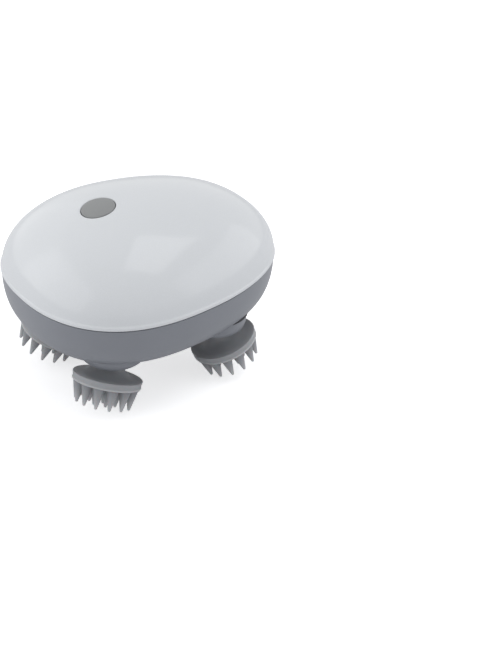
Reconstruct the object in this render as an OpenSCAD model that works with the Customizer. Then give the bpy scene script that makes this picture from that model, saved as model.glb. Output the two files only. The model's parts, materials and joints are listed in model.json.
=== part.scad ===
// Electric scalp massager: an egg-shaped case on four rotating silicone heads.
// X runs from the broad end to the narrow end, Z is up, and the finger tips stand on Z = 0.

/* [Case] */
// Length over the rim bead
case_l = 125; // [118:0.5:140]
// Half width of the dome at its middle section
case_half_w = 49; // [47:0.5:56]
// How much narrower the plan gets towards +X, as a share of the half width
case_taper = 0.2; // [0.1:0.01:0.22]
// Squareness of the plan outline, where 2 is an ellipse
plan_power = 2.3; // [2:0.05:2.6]
// Height of the dome above the seam
dome_h = 35.5; // [34.5:0.5:44]
// Squareness of the dome's profile
dome_power = 2; // [1.9:0.05:2.3]
// Depth of the base below the seam, at the edge of its underside
base_depth = 22; // [22:0.5:27]
// How far the base rounds in under its side wall
base_round = 12; // [9:0.5:13]
// Squareness of the base's rounding
base_power = 2.4; // [2:0.1:2.8]
// How much the middle of the underside stands proud
base_crown = 1.2; // [0.4:0.1:2]
// Wall of both shells
wall = 2.2; // [1.6:0.1:2.6]
// How far the bead round the dome's lower edge stands out
bead = 0.5; // [0.3:0.05:1]
// Height of that bead
bead_h = 1.8; // [1:0.1:3]
// Height of the seam between the shells
seam = 0.6; // [0.3:0.05:1]

/* [Heads] */
// Distance between the two rows of heads, across the case
row_gap = 44; // [42:0.5:46]
// Place of the drive along the case, from its middle
drive_x = -3.5; // [-6:0.5:0]
// Radius of a drum
drum_r = 14.9; // [14:0.1:15.2]
// Gap between a drum and its hole
drum_gap = 0.7; // [0.4:0.1:1]
// How far a drum's lip stands below the underside
drum_drop = 5.2; // [5:0.1:7]
// Radius of the bowl inside the lip
bowl_r = 9.9; // [9.5:0.1:10.5]
// Lean of a head from the vertical, in degrees
lean = 22; // [16:0.5:24]
// Directions that the four heads lean in at rest, in degrees from +X
lean_dirs = [-150, -25, 138, 40];
// Radius of a head's neck
neck_r = 6.4; // [5.8:0.1:6.6]
// Radius of a head's disc
disc_r = 15.4; // [14.5:0.1:15.8]
// Height of the disc's edge
disc_edge = 3.6; // [2.6:0.1:4.2]
// Length of a finger
finger_l = 9.5; // [8:0.1:11]
// Radius of a finger at its root
finger_r = 2.5; // [2.1:0.05:2.55]
// Radius of a finger's rounded tip
tip_r = 0.65; // [0.5:0.05:0.9]
// Radius of the outer ring of fingers
outer_ring = 12.15; // [11.5:0.05:12.2]
// Fingers on the outer ring
outer_count = 13; // [11:1:13]
// Radius of the inner ring of fingers
inner_ring = 6; // [5.5:0.1:6.5]
// Fingers on the inner ring
inner_count = 7; // [5:1:7]

/* [Gears] */
// Tooth module of the central and output gears
mod_out = 1; // [0.95:0.01:1.02]
// Tooth module of the second reduction
mod_mid = 0.8; // [0.75:0.01:0.84]
// Tooth module of the motor's pinion and the first reduction
mod_in = 0.6; // [0.55:0.01:0.62]
// Teeth of the central gear
teeth_central = 44; // [44:4:44]
// Teeth of an output gear
teeth_output = 24; // [24:2:24]
// Teeth of the small wheels on the reduction gears
teeth_small = 12; // [12:1:13]
// Teeth of the large wheel on the second reduction gear
teeth_mid = 36; // [34:1:37]
// Teeth of the large wheel on the first reduction gear
teeth_in = 48; // [46:1:49]
// Teeth of the motor's pinion
teeth_motor = 10; // [10:1:11]
// Face width of the gears that carry the heads
face_out = 5; // [4:0.5:5.5]
// Face width of the second reduction
face_mid = 3.5; // [3:0.5:4]
// Face width of the first reduction
face_in = 2.7; // [2.4:0.1:3]
// Gap between two layers of gears
layer_gap = 0.8; // [0.6:0.1:1]
// Play between meshed teeth, on the pitch circle
backlash = 0.14; // [0.1:0.01:0.2]
// Radius of an output shaft
shaft_r = 2; // [1.8:0.1:2.2]
// Radius of the reduction axles
axle_r = 1; // [0.8:0.1:1.2]
// Running gap between an axle or shaft and its bore
run_gap = 0.05; // [0.03:0.01:0.08]
// Thickness of the gear tray and of the gearbox cover
plate_t = 2.4; // [2:0.1:2.8]

/* [Motor and battery] */
// Radius of the motor's can
motor_r = 12; // [10:0.5:12.5]
// Length of the motor's can
motor_l = 19; // [16:0.5:20]
// Radius of the battery cell
cell_r = 7; // [5:0.25:7.25]
// Length of the battery cell
cell_l = 50; // [40:1:52]

/* [Button and board] */
// Distance of the button from the case's middle, towards the broad end
button_x = 24; // [18:0.5:24]
// Radius of the button's cap
button_r = 7.4; // [7:0.1:8.5]
// Gap round the button
button_gap = 0.3; // [0.2:0.05:0.5]
// Travel of the button
button_travel = 0.8; // [0.5:0.1:1]
// Length of the circuit board
board_l = 27; // [24:0.5:28]
// Width of the circuit board
board_w = 22; // [18:0.5:24]
// Gap between the dome's inside and the board's top face, at the button's centre
board_gap = 6.3; // [6:0.1:7.8]

/* [Charging socket] */
// Radius of the socket's bore, for a 2.5 mm jack
jack_r = 1.275; // [1.26:0.005:1.3]
// Length of the socket's bore
jack_l = 10; // [8:0.5:12]
// Depth of the socket's axis below the seam
jack_drop = 6.5; // [6:0.1:8]
// Width of the port cover
cover_w = 15; // [12:0.5:18]
// Height of the port cover
cover_h = 8.6; // [7.6:0.1:10]
// Gap round the port cover
cover_gap = 0.3; // [0.2:0.05:0.4]

/* [Hidden] */
SIDES = ["front_left", "front_right", "rear_left", "rear_right"];
function per_head(name) = [for (s = SIDES) str(name, "_", s)];
$fn = 72;

// Colours
pearl = [0.86, 0.87, 0.89];
slate = [0.50, 0.51, 0.54];
silicone = [0.60, 0.61, 0.64];
button_grey = [0.58, 0.59, 0.60];
dark = [0.16, 0.16, 0.18];
acetal = [0.90, 0.88, 0.82];
steel = [0.72, 0.73, 0.75];
brass = [0.75, 0.62, 0.32];
board_green = [0.10, 0.35, 0.20];
cell_blue = [0.20, 0.35, 0.62];
red = [0.70, 0.12, 0.10];
black = [0.08, 0.08, 0.08];

// Shell outlines
SEGMENTS = 64;
DOME_RINGS = 11;
BASE_RINGS = 7;
CROWN_RINGS = 3;
CROWN_AT_HEADS = 0.5;
half_l = case_l / 2 - bead;

// Head stack, measured along the leaning axis from the pivot
PIVOT_DROP = 1;
flare_start = 7.4;
disc_top = 12.5;
disc_low = disc_top + disc_edge;
reach = disc_low + finger_l;
pivot_z = (reach - tip_r) * cos(lean) + outer_ring * sin(lean) + tip_r;
hole_z = pivot_z + PIVOT_DROP;
lip_z = hole_z - drum_drop;
seam_z = hole_z + base_depth + CROWN_AT_HEADS * base_crown;
bowl_floor_z = hole_z + 0.6;
drum_plate = 3.4;
drum_top_z = bowl_floor_z + drum_plate;

// Gear layers, from the tray up
tray_z = drum_top_z + 1.1;
out_z = tray_z + plate_t + layer_gap;
mid_z = out_z + face_out + layer_gap;
in_z = mid_z + face_mid + layer_gap;
cover_z = in_z + face_in + layer_gap;
deck_z = cover_z + plate_t;

// Gear places
PRESSURE = 25;
ADDENDUM = 0.9;
DEDENDUM = 1.15;
centre_out = mod_out * (teeth_central + teeth_output) / 2;
column_gap = 2 * sqrt(centre_out * centre_out - row_gap * row_gap / 4);
centre_2 = mod_out * (teeth_central + teeth_small) / 2;
centre_1 = mod_mid * (teeth_mid + teeth_small) / 2;
centre_motor = mod_in * (teeth_in + teeth_motor) / 2;
DIR_2 = -90;
DIR_1 = 60;
DIR_MOTOR = 130;
drive_at = [drive_x, 0];
function heading(a) = [cos(a), sin(a)];
gear_2_at = drive_at + centre_2 * heading(DIR_2);
gear_1_at = gear_2_at + centre_1 * heading(DIR_1);
motor_at = gear_1_at + centre_motor * heading(DIR_MOTOR);
HEADS = [
    [drive_x - column_gap / 2, -row_gap / 2],
    [drive_x + column_gap / 2, -row_gap / 2],
    [drive_x - column_gap / 2, row_gap / 2],
    [drive_x + column_gap / 2, row_gap / 2]
];
function direction(p) = atan2(p[1], p[0]);
// Turn that brings a wheel into mesh with one that is turned by turn_1 and lies behind it
function meshed(beta, turn_1, z1, z2) = beta + 180 - 180 / z2 + (beta - turn_1) * z1 / z2;
turn_central = 0;
turn_2 = meshed(DIR_2, turn_central, teeth_central, teeth_small);
turn_1 = meshed(DIR_1, turn_2, teeth_mid, teeth_small);
turn_motor = meshed(DIR_MOTOR, turn_1, teeth_in, teeth_motor);

// Plates and their columns
COLUMN_R = 3.6;
COLUMN_SCREW_R = 1.1;
SCREW_HEAD_R = 2.2;
SCREW_HEAD_H = 1.4;
plate_inset = 9;
column_inset = 19.5;
COLUMNS = [
    [-half_l + column_inset, 0],
    [half_l - column_inset - 2, 0],
    [drive_x, half_width(drive_x) - column_inset]
];
central_axle_r = 2;

// Small fits
touch = 0.3;

// ---------- outline and loft functions ----------

function spow(v, p) = sign(v) * pow(abs(v), p);
function plan_y(ux, uy, b) = b * uy * (1 - case_taper * ux);
function plan_point(t, a, b, z) =
    let (ux = spow(cos(t), 2 / plan_power), uy = spow(sin(t), 2 / plan_power))
    [a * ux, plan_y(ux, uy, b), z];
function half_width(x) =
    let (ux = x / half_l, uy = pow(1 - pow(abs(ux), plan_power), 1 / plan_power))
    plan_y(ux, uy, case_half_w);
function ring(a, b, z) = [for (i = [0:SEGMENTS - 1]) plan_point(360 * i / SEGMENTS, a, b, z)];
function inset_ring(d, z) = ring(half_l - d, case_half_w - d, z);

// Height of the dome's surface on the middle line, above the seam, and its slope there
function dome_z(x) = dome_h * pow(1 - pow(abs(x) / half_l, dome_power), 1 / dome_power);

// A solid through a stack of rings, from the lowest to the highest
module loft(rings) {
    n = len(rings[0]);
    levels = len(rings);
    polyhedron(
        points = [for (r = rings, p = r) p],
        faces = concat(
            [[for (i = [0:n - 1]) i]],
            [for (k = [0:levels - 2], i = [0:n - 1])
                [k * n + i, (k + 1) * n + i, k * n + (i + 1) % n]],
            [for (k = [0:levels - 2], i = [0:n - 1])
                [k * n + (i + 1) % n, (k + 1) * n + i, (k + 1) * n + (i + 1) % n]],
            [[for (i = [n - 1:-1:0]) (levels - 1) * n + i]]
        )
    );
}

// Dome solid, inset by d all round, reaching down below the seam by skirt
module dome_solid(d, skirt) {
    low = skirt > 0 ? [inset_ring(d, seam_z - skirt)] : [];
    loft(concat(low, [for (k = [0:DOME_RINGS])
        let (t = 90 * pow(k / (DOME_RINGS + 0.35), 0.9), s = pow(cos(t), 2 / dome_power))
        ring((half_l - d) * s, (case_half_w - d) * s,
            seam_z + (dome_h - d) * pow(sin(t), 2 / dome_power))]));
}

function base_inset(t) = base_round * (1 - pow(cos(t), 2 / base_power));
function base_drop(t) = base_depth * pow(sin(t), 2 / base_power);
function under_ring(s, d) = ring(
    (half_l - base_round - d) * s, (case_half_w - base_round - d) * s,
    seam_z - base_depth - base_crown * (1 - s * s) + d);

// Base solid, inset by d all round, open height up to top above the seam
module base_solid(d, top) {
    side = [for (k = [BASE_RINGS:-1:0])
        let (t = 90 * k / BASE_RINGS)
        inset_ring(base_inset(t) + d, seam_z - base_drop(t) * (base_depth - d) / base_depth)];
    crown = [for (k = [1:CROWN_RINGS]) under_ring(0.15 + 0.85 * (k - 0.5) / CROWN_RINGS, d)];
    loft(concat(crown, side, top > 0 ? [inset_ring(d, seam_z + top)] : []));
}

// ---------- gear functions ----------

function involute(a) = tan(a) * 180 / PI - a;
// Half the angle that a tooth spans at radius r
function half_tooth(r, z, m) =
    let (pitch = m * z / 2, base = pitch * cos(PRESSURE), at = acos(min(1, base / max(r, base))))
    90 / z - backlash / 2 / pitch * 90 / PI + involute(PRESSURE) - involute(at);
function tooth(z, m, middle) =
    let (
        pitch = m * z / 2,
        root = pitch - DEDENDUM * m,
        base = pitch * cos(PRESSURE),
        tip = pitch + ADDENDUM * m,
        low = max(base, root),
        radii = concat([root], [for (k = [0:3]) low + (tip - low) * k / 3])
    )
    concat(
        [for (k = [0:4]) radii[k] * heading(middle - half_tooth(radii[k], z, m))],
        [for (k = [4:-1:0]) radii[k] * heading(middle + half_tooth(radii[k], z, m))]
    );
module gear_blank(z, m, h) {
    linear_extrude(h) polygon([for (k = [0:z - 1], p = tooth(z, m, 360 * k / z)) p]);
}

// ---------- case ----------

// Frame at the middle of the button, with Z along its travel, pointing out
button_z = seam_z + dome_z(button_x);
button_tilt = atan(dome_h / half_l * button_x / half_l / sqrt(1 - pow(button_x / half_l, 2)));
module at_button() {
    translate([-button_x, 0, button_z]) rotate([0, -button_tilt, 0]) children();
}

BOARD_SCREW_R = 0.8;
board_drop = wall + board_gap;
post_r = 1.9;
board_posts = [[-board_l / 2 + post_r, 0], [board_l / 2 - post_r, 0]];
board_t = 1.6;
module board_post(p) {
    translate([p[0], p[1], -board_drop]) cylinder(r = post_r, h = board_drop + 3);
}

snap_w = 12;
snap_t = 1.4;
snap_reach = 5;
snap_y = half_width(snap_w / 2) - wall - 2 * touch - snap_t;
module snap_tabs() {
    for (side = [-1, 1])
        translate([-snap_w / 2, side > 0 ? snap_y : -snap_y - snap_t, seam_z - snap_reach])
            cube([snap_w, snap_t, snap_reach + 6]);
}

module top_shell() {
    color(pearl) difference() {
        union() {
            difference() {
                union() {
                    dome_solid(0, 0);
                    loft([inset_ring(-bead * 0.6, seam_z), inset_ring(-bead, seam_z + bead_h * 0.3),
                        inset_ring(-bead, seam_z + bead_h * 0.7), inset_ring(0.1, seam_z + bead_h)]);
                }
                dome_solid(wall, 2);
            }
            intersection() {
                union() {
                    at_button() for (p = board_posts) board_post(p);
                    snap_tabs();
                }
                dome_solid(wall / 2, 6);
            }
        }
        at_button() translate([0, 0, -2 * wall]) cylinder(r = button_r + button_gap, h = 4 * wall);
        at_button() for (p = board_posts)
            translate([p[0], p[1], -board_drop - 1]) cylinder(r = BOARD_SCREW_R, h = 5);
    }
}

// Pocket and cover at the narrow end
pocket_x = half_l - 2.6;
pocket_floor_t = 1.6;
jack_z = seam_z - jack_drop;
module cover_block(grow) {
    translate([pocket_x, -cover_w / 2 - grow, jack_z - cover_h / 2 - grow])
        cube([10, cover_w + 2 * grow, cover_h + 2 * grow]);
}

module base_shell() {
    color(slate) difference() {
        union() {
            difference() {
                base_solid(0, 0);
                base_solid(wall, 4);
            }
            intersection() {
                union() {
                    for (p = HEADS) translate([p[0], p[1], hole_z])
                        cylinder(r = drum_r + drum_gap + 1.8, h = wall + 0.6);
                    for (p = COLUMNS) translate([p[0], p[1], hole_z])
                        cylinder(r = COLUMN_R, h = tray_z - hole_z);
                    translate([pocket_x - pocket_floor_t - 1, -cover_w / 2 - 2, jack_z - cover_h / 2 - 2])
                        cube([8, cover_w + 4, cover_h + 4]);
                }
                base_solid(0.4, 0);
            }
        }
        for (p = HEADS) translate([p[0], p[1], hole_z - 6])
            cylinder(r = drum_r + drum_gap, h = seal_z + seal_h + touch - hole_z + 6);
        for (p = COLUMNS) translate([p[0], p[1], hole_z + 2.4])
            cylinder(r = COLUMN_SCREW_R - 0.2, h = 20);
        cover_block(cover_gap);
        translate([pocket_x - 9, 0, jack_z]) rotate([0, 90, 0]) cylinder(r = socket_nose_r + 0.1, h = 10);
        translate([-half_l, -case_half_w - 10, seam_z - seam]) cube([case_l, 2 * case_half_w + 20, 10]);
    }
}

module rim_gasket() {
    color(dark) difference() {
        translate([0, 0, seam_z - seam]) linear_extrude(seam)
            polygon([for (p = inset_ring(0.5, 0)) [p[0], p[1]]]);
        translate([0, 0, seam_z - seam - 1]) linear_extrude(seam + 2)
            polygon([for (p = inset_ring(1.9, 0)) [p[0], p[1]]]);
    }
}

// ---------- button, board and switch ----------

BUTTON_STEM_R = 2;
BUTTON_CROWN_R = 70;
button_flange_t = 1;
button_proud = 0.3;
flange_top = -wall - 1.1;
switch_h = 2.6;
switch_half = 3;
plunger_r = 1.4;
plunger_top = switch_h + 1.2;
stem_low = -board_drop + plunger_top;
module power_button() {
    color(button_grey) at_button() intersection() {
        union() {
            translate([0, 0, flange_top]) cylinder(r = button_r, h = button_proud + 1 - flange_top);
            translate([0, 0, flange_top - button_flange_t])
                cylinder(r = button_r + 1.1, h = button_flange_t);
            translate([0, 0, stem_low]) cylinder(r = BUTTON_STEM_R, h = flange_top - stem_low);
        }
        translate([0, 0, button_proud - BUTTON_CROWN_R]) sphere(r = BUTTON_CROWN_R, $fn = 144);
    }
}

module circuit_board() {
    color(board_green) at_button() difference() {
        translate([-board_l / 2, -board_w / 2, -board_drop - board_t]) cube([board_l, board_w, board_t]);
        for (p = board_posts) translate([p[0], p[1], -board_drop - board_t - 1])
            cylinder(r = BOARD_SCREW_R + 0.2, h = board_t + 2);
    }
}

module board_screws() {
    color(steel) at_button() for (p = board_posts) translate([p[0], p[1], -board_drop - board_t]) {
        translate([0, 0, -1.2]) cylinder(r = 1.7, h = 1.2);
        cylinder(r = BOARD_SCREW_R, h = board_t + 3.5);
    }
}

module tact_switch() {
    color(dark) at_button() difference() {
        translate([-switch_half, -switch_half, -board_drop])
            cube([2 * switch_half, 2 * switch_half, switch_h]);
        translate([0, 0, -board_drop + 0.4]) cylinder(r = plunger_r + run_gap, h = switch_h);
    }
}

module switch_plunger() {
    color(black) at_button() translate([0, 0, -board_drop + 0.4 + button_travel + 0.2])
        cylinder(r = plunger_r, h = plunger_top - 0.4 - button_travel - 0.2);
}

// ---------- charging port ----------

// The socket's nose shows in the pocket's floor, and its bore ends before its back
socket_nose_r = 2.6;
socket_half = 3.4;
socket_face_x = pocket_x - 0.2;
socket_back_x = socket_face_x - jack_l - 1;
module charging_socket() {
    nose_l = pocket_floor_t + 1;
    color(dark) difference() {
        union() {
            translate([socket_face_x, 0, jack_z]) rotate([0, -90, 0]) cylinder(r = socket_nose_r, h = nose_l);
            translate([socket_back_x, -socket_half, jack_z - socket_half])
                cube([socket_face_x - nose_l - socket_back_x, 2 * socket_half, 2 * socket_half]);
        }
        translate([socket_face_x - jack_l, 0, jack_z]) rotate([0, 90, 0]) cylinder(r = jack_r, h = jack_l + 1);
    }
}

module port_cover() {
    color(slate) intersection() {
        base_solid(0.05, 0);
        translate([touch / 2, 0, 0]) cover_block(0);
    }
}

// ---------- heads ----------

module at_head(i) {
    translate([HEADS[i][0], HEADS[i][1], 0]) rotate([0, 0, lean_dirs[i]]) children();
}
// Turns the vertical into a head's leaning axis, with its Z pointing down along the head
module leaning() {
    translate([0, 0, pivot_z]) rotate([0, 180 - lean, 0]) children();
}

function arc(cx, cz, r, from, to, steps) =
    [for (k = [0:steps]) let (a = from + (to - from) * k / steps) [cx + r * cos(a), cz + r * sin(a)]];

// The drum hangs in its hole, with a rounded lip round an open bowl
module drum(i) {
    lip = 1.3;
    shoulder_w = drum_r - bowl_r - lip;
    shoulder_h = 4.4;
    color(slate) at_head(i) rotate_extrude($fn = 96) polygon(concat(
        [[shaft_r, drum_top_z], [shaft_r, bowl_floor_z], [bowl_r - 1, bowl_floor_z]],
        arc(bowl_r - 1, bowl_floor_z - 1, 1, 90, 0, 3),
        [[bowl_r, lip_z + lip]],
        arc(bowl_r + lip, lip_z + lip, lip, 180, 270, 5),
        [for (k = [1:8]) let (a = 90 * k / 8)
            [drum_r - shoulder_w * (1 - sin(a)), lip_z + shoulder_h * (1 - cos(a))]],
        [[drum_r, drum_top_z]]
    ));
}

core_r = 3.4;
core_flange_r = 9.5;
core_flange_t = 1.3;
core_end = disc_low - 1;
module below_bowl_floor() {
    translate([-30, -30, -5]) cube([60, 60, bowl_floor_z + 5]);
}
module core_solid() {
    intersection() {
        leaning() {
            translate([0, 0, -3]) cylinder(r = core_r, h = core_end + 3);
            translate([0, 0, core_end - core_flange_t]) cylinder(r = core_flange_r, h = core_flange_t);
        }
        below_bowl_floor();
    }
}
shaft_sink = 3;
module core(i) {
    color(acetal) at_head(i) difference() {
        core_solid();
        translate([0, 0, bowl_floor_z - shaft_sink]) cylinder(r = shaft_r, h = shaft_sink + 2);
    }
}

// A finger points along +Z and sinks a little into the disc
module finger() {
    root = 0.5;
    rotate_extrude($fn = 20) polygon(concat(
        [[0, -root], [finger_r, -root], [finger_r, 0], [finger_r * 0.8, finger_l * 0.3]],
        arc(0, finger_l - tip_r, tip_r, 15, 90, 3)
    ));
}
module fingers() {
    translate([0, 0, disc_low]) {
        finger();
        for (k = [0:inner_count - 1]) rotate([0, 0, 360 * k / inner_count + 90])
            translate([inner_ring, 0, 0]) finger();
        for (k = [0:outer_count - 1]) rotate([0, 0, 360 * k / outer_count])
            translate([outer_ring, 0, 0]) finger();
    }
}
// Neck, flare and disc as one turned shape, with an edge that narrows a little downwards
module brush_body() {
    edge_draft = 0.5;
    flare_w = disc_r - 0.5 - neck_r;
    flare_h = disc_top - flare_start;
    rotate_extrude($fn = 96) polygon(concat(
        [[0, -3], [neck_r, -3]],
        [for (k = [0:7]) let (a = 90 * k / 8)
            [neck_r + flare_w * (1 - cos(a)), flare_start + flare_h * sin(a)]],
        [[disc_r - 0.5, disc_top], [disc_r, disc_top + 0.6], [disc_r - edge_draft, disc_low - 0.9],
            [disc_r - edge_draft + 0.25, disc_low - 0.4], [disc_r - edge_draft, disc_low], [0, disc_low]]
    ));
}
module brush(i) {
    color(silicone) at_head(i) difference() {
        intersection() {
            leaning() {
                brush_body();
                fingers();
            }
            below_bowl_floor();
        }
        core_solid();
    }
}

module output_shaft(i) {
    color(steel) at_head(i) translate([0, 0, bowl_floor_z - shaft_sink])
        cylinder(r = shaft_r, h = cover_z + plate_t - 0.4 - bowl_floor_z + shaft_sink);
}

module output_gear(i) {
    beta = direction(HEADS[i] - drive_at);
    color(acetal) translate([HEADS[i][0], HEADS[i][1], out_z])
        rotate([0, 0, meshed(beta, turn_central, teeth_central, teeth_output)])
        difference() {
            gear_blank(teeth_output, mod_out, face_out);
            translate([0, 0, -1]) cylinder(r = shaft_r, h = face_out + 2);
        }
}

BUSH_R = 3.6;
module bush(i) {
    color(brass) translate([HEADS[i][0], HEADS[i][1], tray_z]) difference() {
        union() {
            cylinder(r = BUSH_R, h = plate_t);
            translate([0, 0, -0.6]) cylinder(r = BUSH_R + 1, h = 0.6);
        }
        translate([0, 0, -1]) cylinder(r = shaft_r + run_gap, h = plate_t + 2);
    }
}

seal_h = 1.4;
seal_z = hole_z + wall + 0.2;
module drum_seal(i) {
    color(dark) translate([HEADS[i][0], HEADS[i][1], seal_z]) difference() {
        cylinder(r = drum_r + drum_gap - 0.03, h = seal_h);
        translate([0, 0, -1]) cylinder(r = drum_r + 2 * run_gap, h = seal_h + 2);
    }
}

// ---------- gearbox ----------

module plate_outline(d) {
    polygon([for (p = inset_ring(plate_inset + d, 0)) [p[0], p[1]]]);
}
module column_holes(r) {
    for (p = COLUMNS) translate([p[0], p[1], -1]) cylinder(r = r, h = 60);
}

module gear_tray() {
    color(dark) difference() {
        union() {
            translate([0, 0, tray_z]) linear_extrude(plate_t) plate_outline(0);
            for (p = COLUMNS) translate([p[0], p[1], tray_z]) cylinder(r = COLUMN_R, h = cover_z - tray_z);
        }
        for (p = HEADS) translate([p[0], p[1], tray_z - 1]) cylinder(r = BUSH_R, h = plate_t + 2);
        column_holes(COLUMN_SCREW_R + 0.1);
        translate([gear_2_at[0], gear_2_at[1], tray_z - 1]) cylinder(r = axle_r, h = plate_t + 2);
        translate([drive_x, 0, tray_z - 1]) cylinder(r = central_axle_r, h = plate_t + 2);
    }
}

module gearbox_cover() {
    color(dark) difference() {
        translate([0, 0, cover_z]) linear_extrude(plate_t) plate_outline(-2);
        for (p = COLUMNS) translate([p[0], p[1], deck_z - SCREW_HEAD_H])
            cylinder(r = SCREW_HEAD_R + 0.2, h = SCREW_HEAD_H + 1);
        translate([wire_slot_x - 2, -3.5, cover_z - 1]) cube([4, 7, plate_t + 2]);
        for (p = HEADS) translate([p[0], p[1], cover_z - 1]) cylinder(r = shaft_r + run_gap, h = plate_t + 2);
        column_holes(COLUMN_SCREW_R + 0.1);
        translate([gear_2_at[0], gear_2_at[1], cover_z - 1]) cylinder(r = axle_r, h = plate_t + 2);
        translate([gear_1_at[0], gear_1_at[1], cover_z - 1]) cylinder(r = axle_r, h = plate_t + 2);
        translate([motor_at[0], motor_at[1], cover_z - 1])
            cylinder(r = teeth_motor * mod_in / 2 + mod_in + 0.6, h = plate_t + 2);
        for (s = [-1, 1]) translate([motor_at[0] + s * MOTOR_SCREW_X, motor_at[1], cover_z - 1]) {
            cylinder(r = MOTOR_SCREW_R, h = plate_t + 2);
            cylinder(r = 2, h = 1.8);
        }
    }
}

module gearbox_screws() {
    color(steel) for (p = COLUMNS) translate([p[0], p[1], 0]) {
        translate([0, 0, deck_z - SCREW_HEAD_H]) cylinder(r = SCREW_HEAD_R, h = SCREW_HEAD_H);
        translate([0, 0, hole_z + 4])
            cylinder(r = COLUMN_SCREW_R - 0.2, h = deck_z - SCREW_HEAD_H - hole_z - 4);
    }
}

module central_gear() {
    color(acetal) translate([drive_x, 0, out_z]) difference() {
        gear_blank(teeth_central, mod_out, face_out);
        translate([0, 0, -1]) cylinder(r = central_axle_r + run_gap, h = face_out + 2);
        for (k = [0:5]) rotate([0, 0, 60 * k + 30]) translate([12.5, 0, -1]) cylinder(r = 4, h = face_out + 2);
    }
}
module central_axle() {
    color(steel) translate([drive_x, 0, tray_z]) {
        cylinder(r = central_axle_r, h = mid_z + face_mid - 0.5 - tray_z);
        translate([0, 0, mid_z - tray_z]) cylinder(r = central_axle_r + 1.2, h = 0.8);
    }
}

module reduction_gear_2() {
    color(acetal) translate([gear_2_at[0], gear_2_at[1], out_z]) rotate([0, 0, turn_2]) difference() {
        union() {
            gear_blank(teeth_small, mod_out, mid_z - out_z);
            translate([0, 0, mid_z - out_z]) gear_blank(teeth_mid, mod_mid, face_mid);
        }
        translate([0, 0, -1]) cylinder(r = axle_r + run_gap, h = 20);
    }
}
module reduction_gear_1() {
    color(acetal) translate([gear_1_at[0], gear_1_at[1], mid_z]) rotate([0, 0, turn_1]) difference() {
        union() {
            gear_blank(teeth_small, mod_mid, in_z - mid_z);
            translate([0, 0, in_z - mid_z]) gear_blank(teeth_in, mod_in, face_in);
        }
        translate([0, 0, -1]) cylinder(r = axle_r + run_gap, h = 20);
    }
}
// This axle hangs from the cover, clear of the central gear, and ends in a small head
module reduction_axle_1() {
    head_t = 0.4;
    color(steel) translate([gear_1_at[0], gear_1_at[1], mid_z - head_t - 0.1]) {
        cylinder(r = axle_r, h = deck_z - 0.2 - mid_z + head_t + 0.1);
        cylinder(r = axle_r + 0.8, h = head_t);
    }
}
module reduction_axle_2() {
    color(steel) translate([gear_2_at[0], gear_2_at[1], tray_z]) cylinder(r = axle_r, h = deck_z - tray_z - 0.2);
}

// ---------- motor and battery ----------

MOTOR_SHAFT_R = 1;
MOTOR_SCREW_X = 7;
MOTOR_SCREW_R = 1;
CAP_T = 1.2;
module at_motor(z) {
    translate([motor_at[0], motor_at[1], z]) children();
}
module motor_can() {
    color(steel) at_motor(deck_z) difference() {
        cylinder(r = motor_r, h = motor_l);
        translate([0, 0, -1]) cylinder(r = MOTOR_SHAFT_R + run_gap, h = motor_l - 3);
        for (s = [-1, 1]) translate([s * MOTOR_SCREW_X, 0, -1]) cylinder(r = MOTOR_SCREW_R - 0.2, h = 4);
    }
}
module motor_cap() {
    color(dark) at_motor(deck_z + motor_l) difference() {
        union() {
            cylinder(r = motor_r - 0.6, h = CAP_T);
            cylinder(r = 3, h = CAP_T + 0.8);
        }
        for (s = [-1, 1]) translate([s * 6 - 0.8, -3, 0.4]) cube([1.6, 6, CAP_T]);
    }
}
module motor_shaft() {
    color(steel) at_motor(in_z) cylinder(r = MOTOR_SHAFT_R, h = deck_z - in_z + motor_l - 5);
}
module motor_pinion() {
    color(brass) at_motor(in_z) rotate([0, 0, turn_motor]) difference() {
        gear_blank(teeth_motor, mod_in, cover_z - in_z);
        translate([0, 0, -1]) cylinder(r = MOTOR_SHAFT_R, h = cover_z - in_z + 2);
    }
}
module motor_screws() {
    color(steel) for (s = [-1, 1]) at_motor(cover_z) translate([s * MOTOR_SCREW_X, 0, 0]) {
        translate([0, 0, 0.1]) cylinder(r = 1.8, h = 0.7);
        translate([0, 0, 0.1]) cylinder(r = MOTOR_SCREW_R - 0.2, h = plate_t + 2.5);
    }
}

cell_y = 22.5;
cell_lift = 1.6;
cell_z = deck_z + cell_lift + cell_r;
module battery_cell() {
    color(cell_blue) translate([drive_x - cell_l / 2, cell_y, cell_z]) rotate([0, 90, 0]) {
        cylinder(r = cell_r, h = cell_l - 1);
        translate([0, 0, cell_l - 1]) cylinder(r = 2.4, h = 1);
    }
}
module battery_cradle() {
    rib_t = 2;
    color(dark) difference() {
        union() {
            translate([drive_x - cell_l / 2 - 3, cell_y - cell_r + 1, deck_z])
                cube([cell_l + 6, 2 * cell_r - 2, cell_lift]);
            for (x = [-cell_l / 2 + 6, cell_l / 2 - 8])
                translate([drive_x + x, cell_y - cell_r - 1, deck_z]) cube([rib_t, 2 * cell_r + 2, cell_r + 1]);
            for (x = [-cell_l / 2 - 3, cell_l / 2 + 1])
                translate([drive_x + x, cell_y - cell_r + 1, deck_z]) cube([rib_t, 2 * cell_r - 2, cell_r + 3]);
        }
        translate([drive_x - cell_l / 2, cell_y, cell_z]) rotate([0, 90, 0])
            cylinder(r = cell_r + 0.1, h = cell_l);
    }
}

// ---------- wires ----------

WIRE_R = 0.6;
// The charging wires rise just beyond the column at the narrow end
wire_slot_x = COLUMNS[1][0] + COLUMN_R + WIRE_R + 0.7;
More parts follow.
